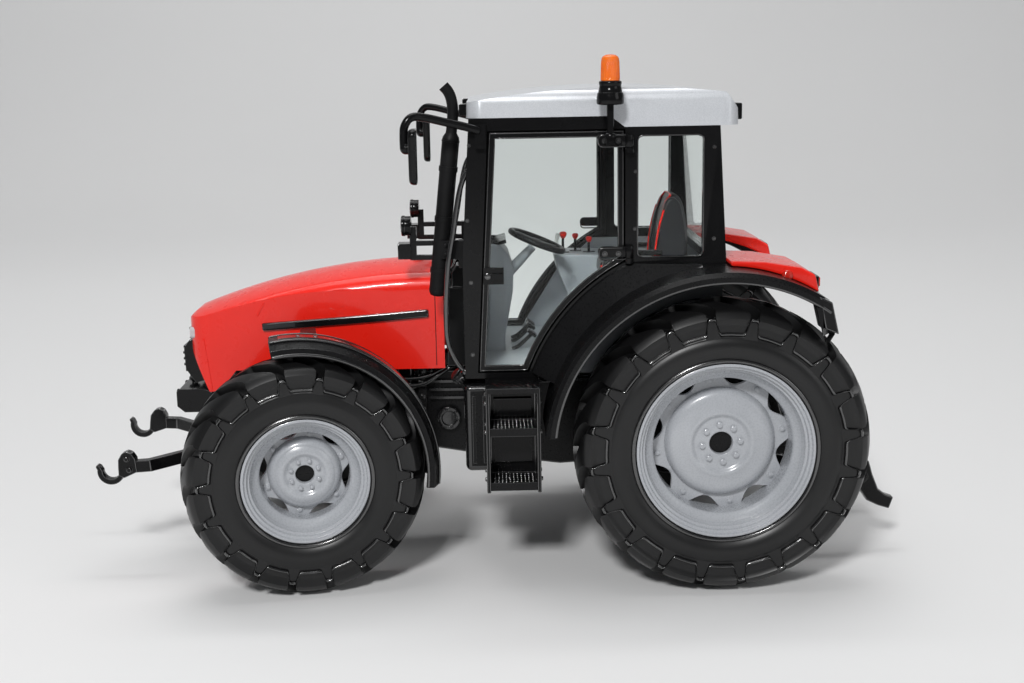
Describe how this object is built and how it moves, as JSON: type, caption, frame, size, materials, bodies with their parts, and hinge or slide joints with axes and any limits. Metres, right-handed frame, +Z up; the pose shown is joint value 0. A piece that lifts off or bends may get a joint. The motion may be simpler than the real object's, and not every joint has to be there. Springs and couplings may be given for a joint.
{
  "type": "scale model farm tractor",
  "caption": "Small scale model of a four wheel drive farm tractor with a glazed cab, turning wheels, steering, opening doors and bonnet, front lift arms and rear linkage.",
  "frame": {"origin": "on the ground, under the middle of the overall box", "axes": "+X forwards, +Y to the tractor's left, +Z up"},
  "size_m": [0.1516, 0.0694, 0.094],
  "materials": {
    "paint_red": "gloss",
    "paint_grey": "satin",
    "paint_black": "satin",
    "paint_chassis": "satin",
    "paint_silver": "metallic",
    "rim_paint": "satin",
    "plastic_dark": "satin",
    "plastic_grey": "matte",
    "seat_black": "matte",
    "tyre_rubber": "satin",
    "glazing": "clear",
    "lens_orange": "translucent",
    "lens_clear": "clear",
    "lens_red": "translucent"
  },
  "bodies": {
    "chassis": {"battery_box": "plastic_dark", "cab_frame": "paint_black", "cab_tub": "plastic_grey", "dash_console": "plastic_grey", "drawbar": "paint_chassis", "engine_block": "paint_chassis", "exhaust": "paint_black", "fender_flares": "plastic_dark", "front_axle_beam": "paint_chassis", "front_support": "paint_chassis", "fuel_tank": "plastic_dark", "gearbox_housing": "paint_chassis", "handrails": "paint_black", "levers_and_pedals": "plastic_dark", "mirrors": "plastic_dark", "quarter_windows": "glazing", "rear_axle_housing": "paint_chassis", "rear_fenders": "paint_red", "rear_window": "glazing", "roof": "paint_silver", "scuttle": "plastic_dark", "seat": "seat_black", "side_consoles": "plastic_grey", "steering_wheel": "plastic_dark", "steps": "plastic_dark", "tail_lamps": "lens_red", "top_link": "paint_chassis", "windscreen": "glazing", "work_lamps": "plastic_dark"},
    "bonnet": {"bonnet": "paint_red", "bonnet_strips": "paint_grey", "headlamps": "lens_clear", "nose_grille": "plastic_dark"},
    "door_left": {"door_left": "paint_black", "door_glass_left": "glazing", "beacon_base": "plastic_dark", "beacon_lens": "lens_orange"},
    "door_right": {"door_right": "paint_black", "door_glass_right": "glazing"},
    "knuckle_left": {"steering_knuckle_left": "paint_chassis", "front_mudguard_left": "plastic_dark"},
    "knuckle_right": {"steering_knuckle_right": "paint_chassis", "front_mudguard_right": "plastic_dark"},
    "front_wheel_left": {"front_rim_left": "rim_paint", "front_tyre_left": "tyre_rubber"},
    "front_wheel_right": {"front_rim_right": "rim_paint", "front_tyre_right": "tyre_rubber"},
    "rear_wheel_left": {"rear_rim_left": "rim_paint", "rear_tyre_left": "tyre_rubber"},
    "rear_wheel_right": {"rear_rim_right": "rim_paint", "rear_tyre_right": "tyre_rubber"},
    "front_arm_left": {"front_arm_left": "plastic_dark"},
    "front_arm_right": {"front_arm_right": "plastic_dark"},
    "rear_link_left": {"rear_link_left": "paint_chassis"},
    "rear_link_right": {"rear_link_right": "paint_chassis"}
  },
  "joints": [
    {"name": "bonnet_hinge", "type": "hinge", "parent": "chassis", "child": "bonnet", "pos_m": [0.0104, 0, 0.0547], "axis": [0, -1, 0], "range_deg": [0, 50]},
    {"name": "door_left_hinge", "type": "hinge", "parent": "chassis", "child": "door_left", "pos_m": [-0.0237, 0.0232, 0.07], "axis": [0, 0, 1], "range_deg": [0, 48]},
    {"name": "door_right_hinge", "type": "hinge", "parent": "chassis", "child": "door_right", "pos_m": [-0.0237, -0.0232, 0.07], "axis": [0, 0, -1], "range_deg": [0, 48]},
    {"name": "steering_left", "type": "hinge", "parent": "chassis", "child": "knuckle_left", "pos_m": [0.03595, 0.0182, 0.02166], "axis": [0, 0, 1], "range_deg": [-35.5, 16.5]},
    {"name": "steering_right", "type": "hinge", "parent": "chassis", "child": "knuckle_right", "pos_m": [0.03595, -0.0182, 0.02166], "axis": [0, 0, 1], "range_deg": [-35.5, 16.5]},
    {"name": "front_wheel_left_spin", "type": "hinge", "parent": "knuckle_left", "child": "front_wheel_left", "pos_m": [0.03471, 0.0256, 0.02166], "axis": [-0.165, 0.9863, 0], "continuous": true},
    {"name": "front_wheel_right_spin", "type": "hinge", "parent": "knuckle_right", "child": "front_wheel_right", "pos_m": [0.03719, -0.0256, 0.02166], "axis": [-0.165, 0.9863, 0], "continuous": true},
    {"name": "rear_wheel_left_spin", "type": "hinge", "parent": "chassis", "child": "rear_wheel_left", "pos_m": [-0.0395, 0.0274, 0.02625], "axis": [0, 1, 0], "continuous": true},
    {"name": "rear_wheel_right_spin", "type": "hinge", "parent": "chassis", "child": "rear_wheel_right", "pos_m": [-0.0395, -0.0274, 0.02625], "axis": [0, 1, 0], "continuous": true},
    {"name": "front_arm_left_pivot", "type": "hinge", "parent": "chassis", "child": "front_arm_left", "pos_m": [0.052, 0.008, 0.0206], "axis": [0, -1, 0], "range_deg": [-20, 35]},
    {"name": "front_arm_right_pivot", "type": "hinge", "parent": "chassis", "child": "front_arm_right", "pos_m": [0.052, -0.008, 0.0206], "axis": [0, -1, 0], "range_deg": [-24, 31]},
    {"name": "rear_link_left_pivot", "type": "hinge", "parent": "chassis", "child": "rear_link_left", "pos_m": [-0.049, 0.0111, 0.0186], "axis": [0, 1, 0], "range_deg": [-8, 30]},
    {"name": "rear_link_right_pivot", "type": "hinge", "parent": "chassis", "child": "rear_link_right", "pos_m": [-0.049, -0.0111, 0.0186], "axis": [0, 1, 0], "range_deg": [-8, 30]}
  ],
  "couplings": [
    {"joint": "steering_right", "follows": "steering_left", "ratio": 1}
  ]
}
